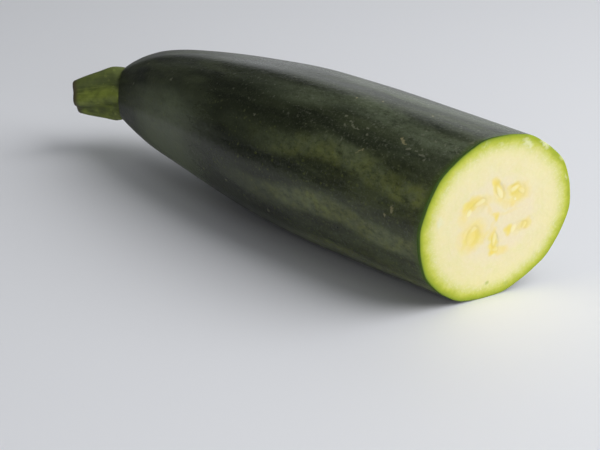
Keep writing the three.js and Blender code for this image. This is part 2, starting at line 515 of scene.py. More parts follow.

# %% [markdown]
# The vertices of the face now sink into the hollows. The knife also tears a few fibres near the skin, which stand
# up a little and dry white, with a painted highlight in that white, and cuts through two green veins. The last
# mark in the list of torn fibres is no fibre but a painted wet glint on the flesh. A fine ripple keeps the cut
# from looking machined.

# %% Sink the pockets and raise the torn fibres and the painted glint
TORN_AND_GLINTS = [
    (8.0, 19.2, 2.4, 1.1, -35, 0.65),
    (13.6, 18.0, 2.6, 0.8, -38, 0.7),
    (19.6, 13.2, 1.6, 0.7, -58, 0.35),
    (21.8, 7.6, 1.3, 0.6, -70, 0.45),
    (-5.4, 21.0, 1.4, 0.6, 15, 0.3),
    (-0.4, 20.6, 1.4, 0.6, 0, 0.3),
    # Not a fibre: a painted wet glint on the flesh.
    (-17.2, 2.6, 1.0, 2.2, 0, 0.7),
]
VEINS = [
    (-0.7, -18.2, 0.8, 0.65, 20, 0.7),
    (5.6, -19.8, 1.0, 0.7, 10, 0.6),
]
POCKET_DEPTH = 0.10
POCKET_WALL = 1.4
TORN_WANDER = 0.9
TORN_GRAIN = 0.7
TORN_HEIGHT = 0.08
FACE_ROUGHNESS = 0.02
FACE_GRAIN = 1.1

for vert in cut_verts:
    u, v, _ = vert[face_layer]
    spot = Vector((u, v, 0))
    fray = noise.noise_vector(spot / TORN_GRAIN) * TORN_WANDER
    vert[pulp_layer] = pulp_at(u, v)
    vert[torn_and_glint_layer] = strongest(u + fray.x, v + fray.y, TORN_AND_GLINTS)
    vert[vein_layer] = strongest(u, v, VEINS)
    hollow = max(in_ellipse(u, v, pocket) for pocket in POCKETS)
    sunk = POCKET_DEPTH * soft_step(hollow * POCKET_WALL)
    ripple = FACE_ROUGHNESS * noise.noise(spot / FACE_GRAIN)
    vert.co += cut_normal * (ripple + TORN_HEIGHT * vert[torn_and_glint_layer] - sunk)
print("deepest pulp", round(max(v[pulp_layer] for v in cut_verts), 2))

# %% [markdown]
# ## Putting the fruit in place
#
# Everything so far is in millimetres from the middle of the cut. The frame says where that is: the far edge of
# the cut is the end of its fruit's box, and the fruit rests on the ground. One matrix scales and moves the mesh,
# so the object itself stays at the origin, unturned and unscaled.

# %% Place the fruit
fruit_low, fruit_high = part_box("fruit")
cut_reach = max(v.co.x for v in fruit_mesh.verts)
across_middle = (min(v.co.y for v in fruit_mesh.verts) + max(v.co.y for v in fruit_mesh.verts)) / 2
cut_middle = Vector((
    fruit_high.x - cut_reach * MM,
    (fruit_low.y + fruit_high.y) / 2 - across_middle * MM,
    fruit_low.z + REST_DEPTH * MM,
))
place = Matrix.Translation(cut_middle) @ Matrix.Scale(MM, 4)


def finish_piece(made, name, materials):
    """Moves a mesh in millimetres into the frame and makes an object of it."""
    bmesh.ops.transform(made, matrix=place, verts=made.verts)
    mesh = bpy.data.meshes.new(name)
    made.to_mesh(mesh)
    made.free()
    for material in materials:
        mesh.materials.append(material)
    piece = bpy.data.objects.new(name, mesh)
    scene.collection.objects.link(piece)
    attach(piece, "root")
    print(name, "has", len(mesh.polygons), "faces")
    return piece


print("middle of the cut at", tuple(round(x, 4) for x in cut_middle))

# %% [markdown]
# ## Speckles, shared by skin and stem
#
# Courgette skin is dusted with fine pale specks. A Voronoi texture scatters points evenly, and each point's own
# random colour decides whether it shows, how large it is and how strong. Skin and stem both use this, so it is a
# node group with its own inputs.

# %% Build the speckle group
SPECK_SMALLEST = 0.35
SPECK_FAINTEST = 0.25
SPECK_SOFT_EDGE = 0.6


def mask_group(name, sockets):
    """An empty node group with the given inputs, and a mask as its output."""
    group = bpy.data.node_groups.new(name, "ShaderNodeTree")
    for socket, kind in sockets.items():
        group.interface.new_socket(socket, in_out="INPUT", socket_type=kind)
    group.interface.new_socket("Mask", in_out="OUTPUT", socket_type="NodeSocketFloat")
    return group, add(group, "NodeGroupInput").outputs


def speckle_group():
    group, given = mask_group("Speckles", {
        "Vector": "NodeSocketVector",
        "Scale": "NodeSocketFloat",
        "Size": "NodeSocketFloat",
        "Share": "NodeSocketFloat",
    })
    where = {"Vector": given["Vector"], "Scale": given["Scale"]}
    cells = add(group, "ShaderNodeTexVoronoi", where).outputs
    luck = add(group, "ShaderNodeSeparateColor", {"Color": cells["Color"]}).outputs
    shows = math_node(group, "LESS_THAN", luck["Red"], given["Share"])
    size = product(group, given["Size"], math_node(group, "ADD", luck["Green"], SPECK_SMALLEST))
    outwards = math_node(group, "DIVIDE", cells["Distance"], size)
    inside = math_node(group, "SUBTRACT", 1.0, outwards, clamp=True)
    soft = fade(group, inside, 0.0, SPECK_SOFT_EDGE)
    bright = math_node(group, "ADD", luck["Blue"], SPECK_FAINTEST)
    strength = math_node(group, "MULTIPLY", soft, bright, clamp=True)
    add(group, "NodeGroupOutput", {"Mask": product(group, strength, shows)})
    return group


speckles = speckle_group()


def specks(tree, vector, scale, size, share):
    inputs = {"Vector": vector, "Scale": scale, "Size": size, "Share": share}
    return add(tree, "ShaderNodeGroup", inputs, node_tree=speckles).outputs["Mask"]


print("speckle group has", len(speckles.nodes), "nodes")

# %% [markdown]
# ## Scars on the skin
#
# Every fruit has its own knocks: a dry tan scar, trails of pale nicks, a scratch by the cut, a few brown spots.
# Each is a short stroke from one place on the skin to another, given as distance from the cut and angle from the
# top, with a width. A node group measures how far a point is from the stroke's line, and is used once per stroke.

# %% Build the stroke group
STROKE_CORE = 0.35


def stroke_group():
    group, given = mask_group("Stroke", {
        "Vector": "NodeSocketVector",
        "Start": "NodeSocketVector",
        "Span": "NodeSocketVector",
        "Width": "NodeSocketFloat",
    })
    span = given["Span"]
    reach = vector_math(group, "SUBTRACT", {0: given["Vector"], 1: given["Start"]})["Vector"]
    ahead = vector_math(group, "DOT_PRODUCT", {0: reach, 1: span})["Value"]
    whole = vector_math(group, "DOT_PRODUCT", {0: span, 1: span})["Value"]
    share = math_node(group, "DIVIDE", ahead, whole, clamp=True)
    nearest = vector_math(group, "SCALE", {0: span, "Scale": share})["Vector"]
    distance = vector_math(group, "DISTANCE", {0: reach, 1: nearest})["Value"]
    mask = fade(group, math_node(group, "DIVIDE", distance, given["Width"]), 1.0, STROKE_CORE)
    add(group, "NodeGroupOutput", {"Mask": mask})
    return group


stroke = stroke_group()
print("stroke group has", len(stroke.nodes), "nodes")

# %% Place the strokes
SCARS = [
    ((18.6, 34.7), (16.8, 37.4), 0.50),
    ((16.6, 37.9), (15.9, 37.4), 0.30),
    ((28.6, 53.9), (26.9, 50.6), 0.26),
    ((26.9, 50.4), (26.7, 50.2), 0.42),
    ((35.0, 11.8), (35.2, 11.8), 0.40),
    ((19.5, 8.1), (19.7, 8.1), 0.40),
    ((42.4, 16.6), (42.6, 16.6), 0.35),
    ((9.6, 79.5), (9.9, 78.0), 0.60),
    ((11.4, 83.5), (11.8, 83.0), 0.40),
]
NICKS = [
    ((14.8, 40.0), (13.6, 39.1), 0.40),
    ((12.2, 39.4), (11.4, 39.6), 0.36),
    ((10.8, 37.4), (10.4, 38.0), 0.32),
    ((10.1, 41.3), (8.6, 40.7), 0.40),
    ((14.4, 27.1), (14.6, 27.1), 0.45),
    ((6.7, 27.9), (6.5, 28.6), 0.34),
    ((4.1, 25.9), (2.9, 29.9), 0.20),
    ((2.9, 29.9), (0.9, 31.8), 0.20),
    ((3.4, 27.0), (1.6, 28.6), 0.18),
    ((40.0, 33.4), (39.5, 33.2), 0.38),
    ((37.4, 35.5), (36.2, 36.2), 0.36),
    ((35.9, 37.6), (34.3, 39.2), 0.30),
    ((38.2, 38.8), (37.4, 39.8), 0.38),
    ((34.1, 39.1), (32.7, 38.8), 0.30),
    ((30.6, 36.1), (30.4, 36.2), 0.50),
    ((29.2, 40.3), (29.0, 40.4), 0.42),
    ((35.9, 47.3), (35.6, 49.9), 0.28),
    ((10.2, 27.6), (9.5, 28.8), 0.34),
    ((7.9, 43.2), (7.4, 42.8), 0.34),
    ((15.0, 23.1), (14.8, 23.3), 0.30),
    ((142.9, 50.1), (142.8, 50.2), 0.60),
    ((114.0, 46.3), (114.3, 46.3), 0.65),
    ((70.0, 52.9), (70.2, 52.9), 0.50),
]


def skin_point(along, degrees):
    """A place on the finished skin, in metres."""
    nearest = min(body_outline, key=lambda p: abs(p.x - along))
    angle = math.radians(degrees)
    plain = Vector((-along, -nearest.y * math.sin(angle), nearest.y * math.cos(angle)))
    return place @ body_place(plain)[0]


def strokes(tree, vector, marks):
    mask = 0.0
    for start, end, width in marks:
        first = skin_point(*start)
        span = skin_point(*end) - first
        inputs = {"Vector": vector, "Start": first, "Span": span, "Width": width * MM}
        drawn = add(tree, "ShaderNodeGroup", inputs, node_tree=stroke).outputs["Mask"]
        mask = math_node(tree, "MAXIMUM", drawn, mask)
    return mask


print("strokes on the skin", len(SCARS) + len(NICKS))

# %% [markdown]
# ## Skin
#
# The skin is so dark a green that most of what the eye sees on it is reflected light, so its roughness matters
# more than its colour. Under the shine it still varies, at every size. The material starts with what the coats
# have in common: three noises, drawn out along the fruit, and two masks for the places where the skin differs,
# towards the cut and low down on the sides.

# %% Start the skin
STREAK_SCALE = (60, 260, 260)
CLOUD_SCALE = (45, 90, 90)
BLOTCH_SCALE = 700.0
BLOTCH_STRETCH = (0.6, 1, 1)
NEAR_CUT = (98, 32)
LOW_DOWN = (40, 62)

skin, tree, shader = new_material("courgette_skin")
spot = object_place(tree)
along = attribute(tree, "along")["Fac"]
around = attribute(tree, "around")["Fac"]
streaks = noise_value(tree, stretched(tree, spot, STREAK_SCALE), 1.0)
clouds = noise_value(tree, stretched(tree, spot, CLOUD_SCALE), 1.0)
blotch_spot = stretched(tree, spot, BLOTCH_STRETCH)
blotches = noise_value(tree, blotch_spot, BLOTCH_SCALE, detail=4.0, roughness=0.7)
near_cut = fade(tree, along, *NEAR_CUT)
low_down = fade(tree, around, *LOW_DOWN)
print("skin starts with", len(tree.nodes), "nodes")

# %% [markdown]
# The ground is a very dark green with paler streaks, fewer round the waist. Over it lie the paler parts: a stripe
# beside each rib, which fades away from the cut, a painted sheen on the near side of the shoulder and some
# scuffing at the cut. Clouds and blotches break them up, and low on the sides they turn olive.

# %% Paint the ground and the paler parts
SKIN_DARK = (0.0140, 0.0180, 0.0080)
SKIN_GREEN = (0.0480, 0.0580, 0.0270)
SKIN_STRIPE = (0.1580, 0.1900, 0.1150)
SKIN_OLIVE = (0.2400, 0.2700, 0.0800)
WAIST_STARTS = (40, 75)
WAIST_ENDS = (105, 80)
WAIST_DARKER = 0.6
STRIPE_EDGE = (-0.5, 0.95)
STRIPE_STRENGTH = 0.65
STRIPE_STRONGER_LOW = 0.2
SHOULDER_STARTS = (82, 108)
SHOULDER_ENDS = (152, 126)
SHOULDER_ANGLE = (42, 66)
SHOULDER_SIDE = (-0.4, 0.6)
SHOULDER_STRENGTH = 0.75
SCUFF_REACH = (60, 12)
SCUFF_STRENGTH = 0.2
OLIVE_SCALE = 170.0

waist = product(tree, fade(tree, along, *WAIST_STARTS), fade(tree, along, *WAIST_ENDS))
green = product(tree, fade(tree, streaks, 0.3, 0.7), scaled(tree, waist, -WAIST_DARKER, 1.0))
colour = blend(tree, green, SKIN_DARK, SKIN_GREEN)

stripe = product(
    tree,
    fade(tree, attribute(tree, "stripe")["Fac"], *STRIPE_EDGE),
    near_cut,
    scaled(tree, low_down, STRIPE_STRONGER_LOW, STRIPE_STRENGTH),
)
# Painted sheen: a paler patch on the shoulder, on the near side only, standing in for light mirrored there.
shoulder_sheen = product(
    tree,
    fade(tree, along, *SHOULDER_STARTS),
    fade(tree, around, *SHOULDER_ANGLE),
    fade(tree, along, *SHOULDER_ENDS),
    fade(tree, attribute(tree, "side")["Fac"], *SHOULDER_SIDE),
)
scuffs = scaled(tree, fade(tree, along, *SCUFF_REACH), SCUFF_STRENGTH)
pale = math_node(tree, "MAXIMUM", stripe, scaled(tree, shoulder_sheen, SHOULDER_STRENGTH))
pale = math_node(tree, "MAXIMUM", pale, scuffs)

smooth = scaled(tree, near_cut, -0.35, 0.75)
rough = math_node(tree, "SUBTRACT", 1.0, smooth)
grain = math_node(tree, "ADD", product(tree, fade(tree, blotches, 0.25, 0.7), rough), smooth)
patches = product(tree, scaled(tree, fade(tree, clouds, 0.3, 0.65), 0.5, 0.5), grain)
tint = fade(tree, noise_value(tree, spot, OLIVE_SCALE), 0.38, 0.62)
olive = product(tree, scaled(tree, tint, 0.6, 0.4), low_down, scaled(tree, near_cut, 0.85, 0.15))
pigment = blend(tree, olive, SKIN_STRIPE, SKIN_OLIVE)
colour = blend(tree, product(tree, pale, patches), colour, pigment)
print("skin has", len(tree.nodes), "nodes after the paler parts")

# %% [markdown]
# Then come the small things: dark pores, a painted glow of green light through the thin rind right at the cut,
# dust, fine specks that crowd towards the cut, a few broad flecks, and last the nicks and scars. Noise moves the
# places of specks and strokes by about a millimetre, so that they are ragged and not round or straight.

# %% Paint the specks and scars
# Painted glow: green light shining through the thin rind right at the cut.
SKIN_GLOW_THROUGH = (0.0700, 0.1050, 0.0220)
SPECK_PALE = (0.210, 0.220, 0.165)
SPECK_YELLOW = (0.190, 0.215, 0.045)
FLECK_PALE = (0.190, 0.190, 0.110)
SCAR_TAN = (0.320, 0.285, 0.150)
NICK_PALE = (0.200, 0.205, 0.140)
GLOW_THROUGH_REACH = (2.2, 0)
DUST_SCALE = 1500.0
WANDER = 0.0018
WANDER_SCALE = 1100.0
FINE_SCALE = 1100.0
FINE_SIZE = 0.42
FINE_STRENGTH = 0.28
BROAD_SCALE = 240.0
BROAD_SIZE = 0.12
BROAD_SHARE = 0.14
BROAD_STRENGTH = 0.5
NICK_STRENGTH = 0.6
SCAR_STRENGTH = 0.7

jitter_inputs = {"Vector": spot, "Scale": WANDER_SCALE, "Detail": 5.0, "Roughness": 0.7}
jitter = add(tree, "ShaderNodeTexNoise", jitter_inputs).outputs["Color"]
centred = vector_math(tree, "SUBTRACT", {0: jitter, 1: (0.5, 0.5, 0.5)})["Vector"]
moved = vector_math(tree, "MULTIPLY_ADD", {0: centred, 1: (WANDER,) * 3, 2: spot})["Vector"]

pores_dark = fade(tree, blotches, 0.5, 0.25)
dust = fade(tree, noise_value(tree, spot, DUST_SCALE, detail=4.0, roughness=0.75), 0.5, 0.8)
crowd = product(tree, scaled(tree, near_cut, 0.6, 0.3), fade(tree, clouds, 0.2, 0.6))
fine = specks(tree, stretched(tree, moved, (0.8, 1, 1)), FINE_SCALE, FINE_SIZE, crowd)
broad = specks(tree, stretched(tree, moved, (0.7, 1, 1)), BROAD_SCALE, BROAD_SIZE, BROAD_SHARE)
speck = blend(tree, low_down, SPECK_PALE, SPECK_YELLOW)
for mask, pigment, strength in (
    (pores_dark, SKIN_DARK, scaled(tree, near_cut, 0.25, 0.1)),
    # Painted glow of light through the rind at the cut.
    (fade(tree, along, *GLOW_THROUGH_REACH), SKIN_GLOW_THROUGH, grain),
    (dust, SPECK_PALE, scaled(tree, near_cut, 0.35, 0.1)),
    (fine, speck, FINE_STRENGTH),
    (broad, FLECK_PALE, BROAD_STRENGTH),
    (strokes(tree, moved, NICKS), NICK_PALE, NICK_STRENGTH),
    (strokes(tree, moved, SCARS), SCAR_TAN, SCAR_STRENGTH),
):
    colour = painted(tree, colour, mask, pigment, strength)
print("skin has", len(tree.nodes), "nodes after the scars")

# %% [markdown]
# The skin is waxy, smooth enough to mirror the room, and duller towards the stem. A little bump breaks up the
# reflections as the pores of the real skin do.

# %% Finish the skin
SKIN_SMOOTHEST = 0.05
SKIN_DULLER = 0.3
DULLER_TOWARDS_STEM = (75, 140)
SKIN_SPECULAR = 0.33
PORE_SCALE = 900.0
SKIN_BUMP = 0.15
SKIN_BUMP_DEPTH = 0.0005

dull = scaled(tree, fade(tree, along, *DULLER_TOWARDS_STEM), SKIN_DULLER, SKIN_SMOOTHEST)
worn = math_node(tree, "ADD", scaled(tree, streaks, 0.12), dull)
dress(tree, shader, colour, math_node(tree, "ADD", scaled(tree, blotches, 0.2), worn))
shader.inputs["Specular IOR Level"].default_value = SKIN_SPECULAR
pores = noise_value(tree, spot, PORE_SCALE, detail=2.0)
height = math_node(tree, "ADD", pores, scaled(tree, blotches, 1.5))
emboss(tree, shader, height, SKIN_BUMP, SKIN_BUMP_DEPTH)
print("skin material has", len(tree.nodes), "nodes")

# %% [markdown]
# ## Flesh
#
# The cut face is coloured from the outside in by the stored depth: a thread of dark green, a band of yellow-green,
# then pale flesh and a warmer seed zone. A colour ramp holds the bands. They are not drawn with a compass on the
# real thing, so noise that runs outwards from the middle makes their edges ragged.

# %% Colour the flesh in bands
FLESH_BANDS = [
    (0.00, (0.040, 0.075, 0.012)),
    (0.22, (0.190, 0.270, 0.028)),
    (0.60, (0.340, 0.415, 0.038)),
    (1.20, (0.445, 0.505, 0.043)),
    (2.20, (0.605, 0.630, 0.102)),
    (3.40, (0.725, 0.715, 0.262)),
    (5.00, (0.840, 0.780, 0.405)),
    (6.50, (0.875, 0.797, 0.465)),
    (9.50, (0.880, 0.790, 0.490)),
]
DEEPEST_BAND = FLESH_BANDS[-1][0]
FIBRE_SPOKES = 9.0
FIBRE_RINGS = 0.3
RAGGED = 3.0
RAGGED_FROM = (0.1, 2.0)

flesh, tree, shader = new_material("courgette_flesh")
rim = attribute(tree, "rim")["Fac"]
face_spot = attribute(tree, "face")["Vector"]
outwards = vector_math(tree, "NORMALIZE", {0: face_spot})["Vector"]


def polar_noise(spokes, rings, detail):
    """Noise that is drawn out along the rings or along the spokes of the round face."""
    round_face = vector_math(tree, "SCALE", {0: outwards, "Scale": spokes})["Vector"]
    inwards = add(tree, "ShaderNodeCombineXYZ", {"Z": scaled(tree, rim, rings)}).outputs["Vector"]
    both = vector_math(tree, "ADD", {0: round_face, 1: inwards})["Vector"]
    return noise_value(tree, both, 1.0, detail=detail, roughness=0.65)


fibres = polar_noise(FIBRE_SPOKES, FIBRE_RINGS, 5.0)
shift = scaled(tree, math_node(tree, "SUBTRACT", fibres, 0.5), RAGGED)
ragged = math_node(tree, "ADD", rim, product(tree, shift, fade(tree, rim, *RAGGED_FROM)))
bands = add(tree, "ShaderNodeValToRGB", {"Fac": math_node(tree, "DIVIDE", ragged, DEEPEST_BAND)})
ramp = bands.color_ramp
while len(ramp.elements) < len(FLESH_BANDS):
    ramp.elements.new(1.0)
for element, (depth, band_colour) in zip(ramp.elements, FLESH_BANDS):
    element.position = depth / DEEPEST_BAND
    element.color = (*band_colour, 1.0)
print("flesh has", len(ramp.elements), "bands")

# %% [markdown]
# Within the bands the flesh is mottled, with faint rings where it grew, and a fine pale grain. Pulp, torn fibres
# with their painted highlight, the painted wet glint and veins are painted where the vertices say.

# %% Paint the flesh
FLESH_GREENER = (0.825, 0.775, 0.385)
FLESH_PALE = (0.900, 0.840, 0.580)
SEED_ZONE = (0.875, 0.775, 0.525)
PULP = (0.910, 0.735, 0.150)
TORN_WHITE_AND_GLINT = (0.830, 0.830, 0.580)
VEIN_GREEN = (0.440, 0.520, 0.110)
SEED_ZONE_RADIUS = 11.5
SEED_ZONE_BLUR = 1.5
RING_SPOKES = 1.5
RING_FREQUENCY = 1.4
MOTTLE_SCALE = 0.25
GRAIN_SCALE = 1.3

seeds_at = CUT_RADIUS - SEED_ZONE_RADIUS
rings = polar_noise(RING_SPOKES, RING_FREQUENCY, 3.0)
mottle = noise_value(tree, face_spot, MOTTLE_SCALE, detail=4.0)
grain = noise_value(tree, face_spot, GRAIN_SCALE, detail=4.0, roughness=0.65)
greener = product(tree, fade(tree, mottle, 0.4, 0.75), fade(tree, rim, 3.0, 6.0))
ringed = product(tree, fade(tree, rings, 0.5, 0.7), fade(tree, rim, 4.0, 8.0))
pale = product(tree, fade(tree, grain, 0.45, 0.75), fade(tree, rim, 1.0, 4.0))
seed_zone = fade(tree, ragged, seeds_at - SEED_ZONE_BLUR, seeds_at + SEED_ZONE_BLUR)
colour = bands.outputs["Color"]
for mask, pigment, strength in (
    (greener, FLESH_GREENER, 0.6),
    (ringed, FLESH_GREENER, 0.4),
    (seed_zone, SEED_ZONE, 1.0),
    (pale, FLESH_PALE, 0.45),
    (attribute(tree, "pulp")["Fac"], PULP, 1.0),
    # Torn fibres in white with a painted highlight, and one painted wet glint.
    (attribute(tree, "torn_and_glint")["Fac"], TORN_WHITE_AND_GLINT, 1.0),
    (attribute(tree, "vein")["Fac"], VEIN_GREEN, 1.0),
):
    colour = painted(tree, colour, mask, pigment, strength)
print("flesh has", len(tree.nodes), "nodes after painting")

# %% [markdown]
# Flesh is moist, but the green rim is dull. Light sinks into it and comes out beside where it went in, which
# subsurface scattering imitates. Then the fruit is complete: one object with two materials.

# %% Finish the flesh and the fruit
FLESH_ROUGHNESS = 0.38
RIM_DULLER = 0.5
RIM_DULL_FROM = (2.0, 0.0)
FLESH_SPECULAR = 0.3
FLESH_BUMP = 0.1
FLESH_BUMP_DEPTH = 0.0003
SCATTER_WEIGHT = 0.5
SCATTER_RADIUS = (1.0, 0.8, 0.35)
SCATTER_SCALE = 0.002

dull = scaled(tree, fade(tree, rim, *RIM_DULL_FROM), RIM_DULLER)
moist = scaled(tree, mottle, 0.25, FLESH_ROUGHNESS)
dress(tree, shader, colour, math_node(tree, "ADD", moist, dull))
emboss(tree, shader, grain, FLESH_BUMP, FLESH_BUMP_DEPTH)
shader.inputs["Specular IOR Level"].default_value = FLESH_SPECULAR
shader.inputs["Subsurface Weight"].default_value = SCATTER_WEIGHT
shader.inputs["Subsurface Radius"].default_value = SCATTER_RADIUS
shader.inputs["Subsurface Scale"].default_value = SCATTER_SCALE

fruit = finish_piece(fruit_mesh, "courgette_fruit", [skin, flesh])
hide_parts("fruit")

# %% [markdown]
# ## Seeds
#
# A young seed is a soft flattened egg, blunt at one end. Each starts as a sphere from `create_uvsphere`, is drawn
# to its length and width, narrowed towards its point and laid on the face, sunk by most of its thickness so that
# it grows out of its pocket. The numbers are its place across and up, half length, half width, angle, and how
# pale its heart is, a paleness that is partly the seed's own cream and partly a painted soft highlight. Each
# vertex stores how near the heart it is, and how yellow the pulp is where it lies.

# %% Model the seeds
SEEDS = [
    (0.7, 7.1, 2.6, 1.1, -62, 0.7),
    (5.3, 7.4, 1.7, 1.3, 200, 0.6),
    (7.6, 6.3, 1.5, 0.9, -30, 0.3),
    (5.8, 3.7, 1.2, 0.8, 95, 0.9),
    (6.1, -4.2, 1.5, 1.1, 70, 0.8),
    (9.7, -3.6, 1.4, 0.9, 60, 0.2),
    (0.3, -5.7, 2.2, 0.9, 88, 0.5),
    (1.2, -9.0, 1.7, 0.8, 175, 0.3),
    (-7.3, -4.2, 2.3, 1.6, 75, 0.2),
    (-6.6, -1.6, 1.4, 1.0, 40, 0.3),
    (-8.7, 2.9, 1.6, 1.0, 60, 0.9),
    (-5.2, 5.6, 2.2, 1.0, 20, 0.5),
]
SEED_THICKNESS = 0.20
SEED_SINK = 0.24
SEED_GROWTH = 1.45
SEED_TAPER = 0.45
SEED_BALL = {"u_segments": 32, "v_segments": 20, "radius": 1}

seed_mesh = bmesh.new()
heart_and_highlight_layer = seed_mesh.verts.layers.float.new("heart_and_highlight")
yellow_layer = seed_mesh.verts.layers.float.new("pulp")
face_turn = Matrix((cut_across, cut_up, cut_normal)).transposed().to_4x4()
for across, up, half_length, half_width, degrees, heart_and_highlight in SEEDS:
    ball = bmesh.ops.create_uvsphere(seed_mesh, **SEED_BALL)["verts"]
    for vert in ball:
        from_middle = SEED_GROWTH**2 * (vert.co.x**2 + vert.co.y**2)
        vert[heart_and_highlight_layer] = heart_and_highlight * max(0.0, 1 - from_middle)
        length = half_length * SEED_GROWTH
        width = half_width * SEED_GROWTH * (1 - SEED_TAPER * (1 - vert.co.x) / 2)
        vert.co = (vert.co.x * length, vert.co.y * width, vert.co.z * SEED_THICKNESS)
    middle = cut_across * across + cut_up * up - cut_normal * SEED_SINK
    turn = Matrix.Rotation(math.radians(degrees), 4, "Z")
    laid = Matrix.Translation(middle) @ face_turn @ turn
    bmesh.ops.transform(seed_mesh, matrix=laid, verts=ball)
    for vert in ball:
        vert[yellow_layer] = pulp_at(vert.co.dot(cut_across), vert.co.dot(cut_up))
for face in seed_mesh.faces:
    face.smooth = True
print("seeds", len(SEEDS))

# %% [markdown]
# A seed has no outline of its own colour: its edge is as yellow as the pulp round it, and only its heart is pale,
# partly in its own cream and partly as a painted soft highlight. So the material blends from the same two colours
# as the flesh to a pale heart. It is a little glossier than the flesh, because it is wet.

# %% Make the seed material
SEED_CREAM_AND_HIGHLIGHT = (0.935, 0.845, 0.460)
SEED_CLOUD_SCALE = 900.0
SEED_ROUGHNESS = 0.25

seed, tree, shader = new_material("courgette_seed")
cloud = noise_value(tree, object_place(tree), SEED_CLOUD_SCALE)
heart_and_highlight = math_node(tree, "ADD", attribute(tree, "heart_and_highlight")["Fac"], scaled(tree, cloud, 0.3))
colour = blend(tree, attribute(tree, "pulp")["Fac"], SEED_ZONE, PULP)
# Painted highlight: the pale heart is partly the seed's own cream and partly a soft painted highlight.
colour = blend(tree, fade(tree, heart_and_highlight, 0.05, 1.0), colour, SEED_CREAM_AND_HIGHLIGHT)
dress(tree, shader, colour, scaled(tree, cloud, 0.3, SEED_ROUGHNESS))

seeds = finish_piece(seed_mesh, "courgette_seeds", [seed])

# %% [markdown]
# ## Stem
#
# The stalk is cut short. It leaves the turned end of the fruit at a slant, with five ridges that twist slowly and
# a foot that is wider than high, like the oval end it sits on. It is spun straight like the body, and then each
# ring is carried to its place along a curve. Its foot starts inside the fruit, so that no gap shows where they
# grow together.

# %% Spin the stem
STEM_GIRTH = [(0, 7.2), (0.12, 7.5), (0.3, 7.8), (0.55, 7.1), (0.85, 6), (1, 5.2)]
STEM_END = [(1.016, 4.9), (1.005, 3.7), (0.988, 2.1), (0.983, 0.0)]
STEM_SINK = 0.1
STEM_SUNK_GIRTH = 0.9
STEM_AROUND = 140
STEM_STEPS = 12

stem_outline = smooth_curve(STEM_GIRTH, STEM_STEPS)
stem_chain = [(STEM_SINK, 0), (STEM_SINK, STEM_GIRTH[0][1] * STEM_SUNK_GIRTH)]
stem_chain += [(-share, radius) for share, radius in stem_outline]
stem_chain += [(-share, radius) for share, radius in STEM_END]
stem_mesh = spin_chain(stem_chain, STEM_AROUND)
end_rim = STEM_END[0][1] + WELD
end_share = STEM_END[-1][0] - WELD


def on_end(vert):
    return -vert.co.x > end_share and math.hypot(vert.co.y, vert.co.z) < end_rim


for face in stem_mesh.faces:
    face.smooth = True
    face.material_index = int(all(on_end(v) for v in face.verts))

# %% The curve that the stem follows
STEM_LENGTH = 15.8
STEM_DROOP = 1.2
STEM_ELBOW = 0.3

end_normal = Vector((-math.cos(END_YAW), -math.sin(END_YAW), 0))
stem_root = Vector((-BODY_LENGTH, -NECK_SWAY, -NECK_DROP))
stem_elbow = stem_root + end_normal * STEM_LENGTH * STEM_ELBOW
stem_tip = stem_root + end_normal * STEM_LENGTH - Vector((0, 0, STEM_DROOP))


def stem_spine(share):
    """The place and direction of the stem's middle line. It runs on straight into the fruit below 0."""
    bent = max(share, 0.0)
    point = stem_root * (1 - bent)**2 + stem_elbow * 2 * bent * (1 - bent) + stem_tip * bent**2
    direction = ((stem_elbow - stem_root) * (1 - bent) + (stem_tip - stem_elbow) * bent).normalized()
    return point + direction * STEM_LENGTH * min(share, 0.0), direction


print("stem ends at", tuple(round(x, 1) for x in stem_tip), "mm")

# %% Bend the stem and raise its ridges
STEM_RIDGES = 5
STEM_RIDGE_AT_FOOT = 0.18
STEM_RIDGE_AT_END = 0.13
STEM_TWIST = math.radians(24)
STEM_FOOT_SPREAD = 0.3
STEM_FOOT_LENGTH = 0.35
FIBRE_HEIGHT = 0.10
FIBRE_GRAIN = 9
FIBRE_STRETCH = 0.25
FIBRE_FREE_CORE = 3

ridge_layer = stem_mesh.verts.layers.float.new("ridge")
share_layer = stem_mesh.verts.layers.float.new("share")
grain_layer = stem_mesh.verts.layers.float_vector.new("grain")
for vert in stem_mesh.verts:
    share = -vert.co.x
    radius = math.hypot(vert.co.y, vert.co.z)
    angle = math.atan2(-vert.co.y, vert.co.z)
    ridge_fade = (STEM_RIDGE_AT_END - STEM_RIDGE_AT_FOOT) * min(max(share, 0), 1)
    wave = math.cos(STEM_RIDGES * (angle - STEM_TWIST * share))
    fibre_spot = Vector((math.cos(angle), math.sin(angle), share * FIBRE_STRETCH))
    fibre = FIBRE_HEIGHT * noise.noise(fibre_spot * FIBRE_GRAIN) * min(radius / FIBRE_FREE_CORE, 1)
    swell = 1 + (STEM_RIDGE_AT_FOOT + ridge_fade) * wave + fibre / max(radius, 1)
    spread = 1 + STEM_FOOT_SPREAD * (1 - soft_step(share / STEM_FOOT_LENGTH))
    point, direction = stem_spine(share)
    side = direction.cross(Vector((0, 0, 1))).normalized()
    top = side.cross(direction)
    vert[ridge_layer] = wave
    vert[share_layer] = share
    vert[grain_layer] = fibre_spot
    vert.co = point + side * vert.co.y * swell * spread + top * vert.co.z * swell
bmesh.ops.recalc_face_normals(stem_mesh, faces=stem_mesh.faces)
print("stem of", len(stem_mesh.faces), "faces")

# %% [markdown]
# The stalk is a duller, yellower green than the skin, with pale threads along it and darker grooves, whose dark
# is partly painted shade. Its upper side is painted darker, as painted shade, and towards its cut end it dries
# brown.

